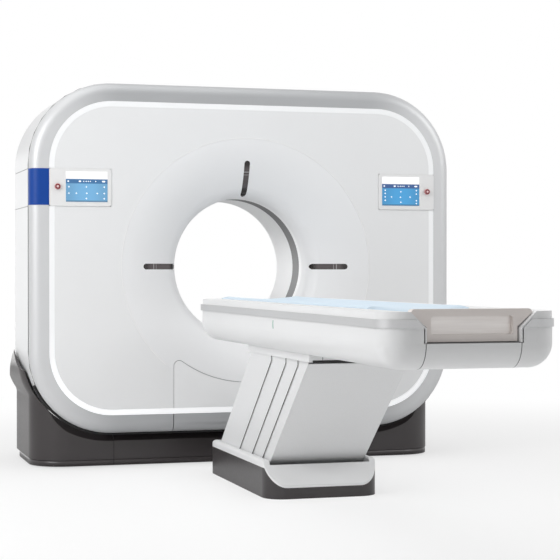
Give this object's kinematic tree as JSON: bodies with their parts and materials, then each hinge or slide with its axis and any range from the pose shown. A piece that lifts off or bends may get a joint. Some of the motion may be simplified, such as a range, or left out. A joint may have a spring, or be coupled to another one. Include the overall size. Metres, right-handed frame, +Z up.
{
  "type": "computed tomography scanner",
  "caption": "Computed tomography scanner: ring gantry with a round bore in a floor plinth, facing a sliding patient table on a leaning pedestal.",
  "frame": {"origin": "On the floor, in the middle of the whole width and of the whole length from the foot end of the table to the back of the gantry.", "axes": "+X to the right for someone at the foot of the table who faces the gantry, +Y along the table into the bore, +Z up."},
  "size_m": [2.234, 3.697, 1.906],
  "materials": {
    "cover_white": "satin moulded",
    "funnel_white": "satin moulded",
    "ring_silver": "silver-grey satin paint",
    "light_diffuser": "translucent, lit from behind",
    "dark_window": "smoked",
    "scan_film": "thin film",
    "panel_white": "satin moulded",
    "screen_blue": "lit display behind glass",
    "stop_red": "gloss",
    "badge_blue": "gloss",
    "plinth_grey": "fine texture",
    "steel_grey": "powder coat",
    "foot_steel": "turned",
    "bearing_steel": "ground",
    "drum_metal": "machined",
    "tube_metal": "powder coat",
    "unit_metal": "powder coat",
    "slip_brass": "turned",
    "belt_rubber": "ribbed",
    "motor_paint": "powder coat",
    "housing_white": "satin moulded",
    "rail_silver": "satin anodised",
    "channel_white": "satin moulded",
    "board_white": "satin laminate",
    "mat_blue": "soft coated foam",
    "bracket_beige": "fine texture",
    "pane_pale": "satin",
    "status_green": "lit",
    "sheet_white": "satin powder coat",
    "skirt_dark": "matt",
    "rim_white": "satin moulded"
  },
  "bodies": {
    "frame": {"front_ring": "ring_silver", "front_cover": "cover_white", "light_band": "light_diffuser", "laser_window_left": "dark_window", "laser_window_top": "dark_window", "laser_window_right": "dark_window", "front_funnel": "funnel_white", "service_cover": "cover_white", "control_panel_left": "panel_white", "control_panel_right": "panel_white", "touch_screen_left": "screen_blue", "touch_screen_right": "screen_blue", "side_badge": "badge_blue", "side_cover_left": "cover_white", "side_cover_right": "cover_white", "top_cover": "cover_white", "rear_cover": "cover_white", "rear_funnel": "funnel_white", "bore_liner": "funnel_white", "scan_window": "scan_film", "plinth_corner_left": "plinth_grey", "plinth_corner_right": "plinth_grey", "plinth_front": "plinth_grey", "plinth_rear": "plinth_grey", "base_frame": "steel_grey", "levelling_feet": "foot_steel", "stator_frame": "steel_grey", "bearing_race": "bearing_steel", "drive_belt": "belt_rubber", "drive_motor": "motor_paint", "base_skirt": "skirt_dark", "base_rim": "rim_white", "pedestal_base": "steel_grey", "lift_motor": "motor_paint"},
    "rotor": {"rotor_drum": "drum_metal", "xray_tube": "tube_metal", "collimator": "unit_metal", "high_voltage_generator": "unit_metal", "detector_arc": "unit_metal", "slip_ring": "slip_brass"},
    "pulley": {"motor_pulley": "bearing_steel"},
    "button_left": {"stop_button_left": "stop_red"},
    "button_right": {"stop_button_right": "stop_red"},
    "main_arm": {"lift_arm": "steel_grey", "pedestal_cover_head": "sheet_white"},
    "rear_strip": {"pedestal_strip_rear": "sheet_white"},
    "front_strip": {"pedestal_strip_front": "sheet_white"},
    "follower": {"follower_arm": "steel_grey", "pedestal_cover_foot": "sheet_white"},
    "table": {"table_frame": "steel_grey", "table_housing": "housing_white", "foot_cover": "housing_white", "side_rail": "rail_silver", "channel_liner": "channel_white", "status_light": "status_green"},
    "cradle": {"cradle_board": "board_white", "cradle_mat": "mat_blue", "cradle_carriage": "steel_grey", "foot_bracket": "bracket_beige", "bracket_window": "pane_pale"}
  },
  "joints": [
    {"name": "rotor_spin", "type": "hinge", "parent": "frame", "child": "rotor", "pos_m": [0, 1.4385, 1], "axis": [0, 1, 0], "continuous": true},
    {"name": "pulley_spin", "type": "hinge", "parent": "frame", "child": "pulley", "pos_m": [-0.7, 1.4415, 0.33], "axis": [0, 1, 0], "continuous": true},
    {"name": "button_left_press", "type": "slide", "parent": "frame", "child": "button_left", "axis": [0, 1, 0], "range_m": [0, 0.004], "stiffness_N_per_m": 1500, "springref_m": -0.001},
    {"name": "button_right_press", "type": "slide", "parent": "frame", "child": "button_right", "axis": [0, 1, 0], "range_m": [0, 0.004], "stiffness_N_per_m": 1500, "springref_m": -0.001},
    {"name": "lift", "type": "hinge", "parent": "frame", "child": "main_arm", "pos_m": [0, 0.6481, 0.11], "axis": [-1, 0, 0], "range_deg": [-19.5, 4]},
    {"name": "table_level", "type": "hinge", "parent": "main_arm", "child": "table", "pos_m": [0, -0.0107, 0.6628], "axis": [-1, 0, 0], "range_deg": [-4, 19.5]},
    {"name": "rear_strip_tilt", "type": "hinge", "parent": "frame", "child": "rear_strip", "pos_m": [0, 0.2526, 0.13], "axis": [-1, 0, 0], "range_deg": [-19.5, 4]},
    {"name": "front_strip_tilt", "type": "hinge", "parent": "frame", "child": "front_strip", "pos_m": [0, 0.0716, 0.13], "axis": [-1, 0, 0], "range_deg": [-19.5, 4]},
    {"name": "follower_tilt", "type": "hinge", "parent": "frame", "child": "follower", "pos_m": [0, -0.084, 0.143], "axis": [-1, 0, 0], "range_deg": [-19.5, 4]},
    {"name": "cradle_slide", "type": "slide", "parent": "table", "child": "cradle", "axis": [0, 1, 0], "range_m": [0, 1.3]}
  ],
  "couplings": [
    {"joint": "pulley_spin", "follows": "rotor_spin", "ratio": 12.277},
    {"joint": "table_level", "follows": "lift", "ratio": -1},
    {"joint": "rear_strip_tilt", "follows": "lift", "ratio": 1},
    {"joint": "front_strip_tilt", "follows": "lift", "ratio": 1},
    {"joint": "follower_tilt", "follows": "lift", "ratio": 1}
  ]
}
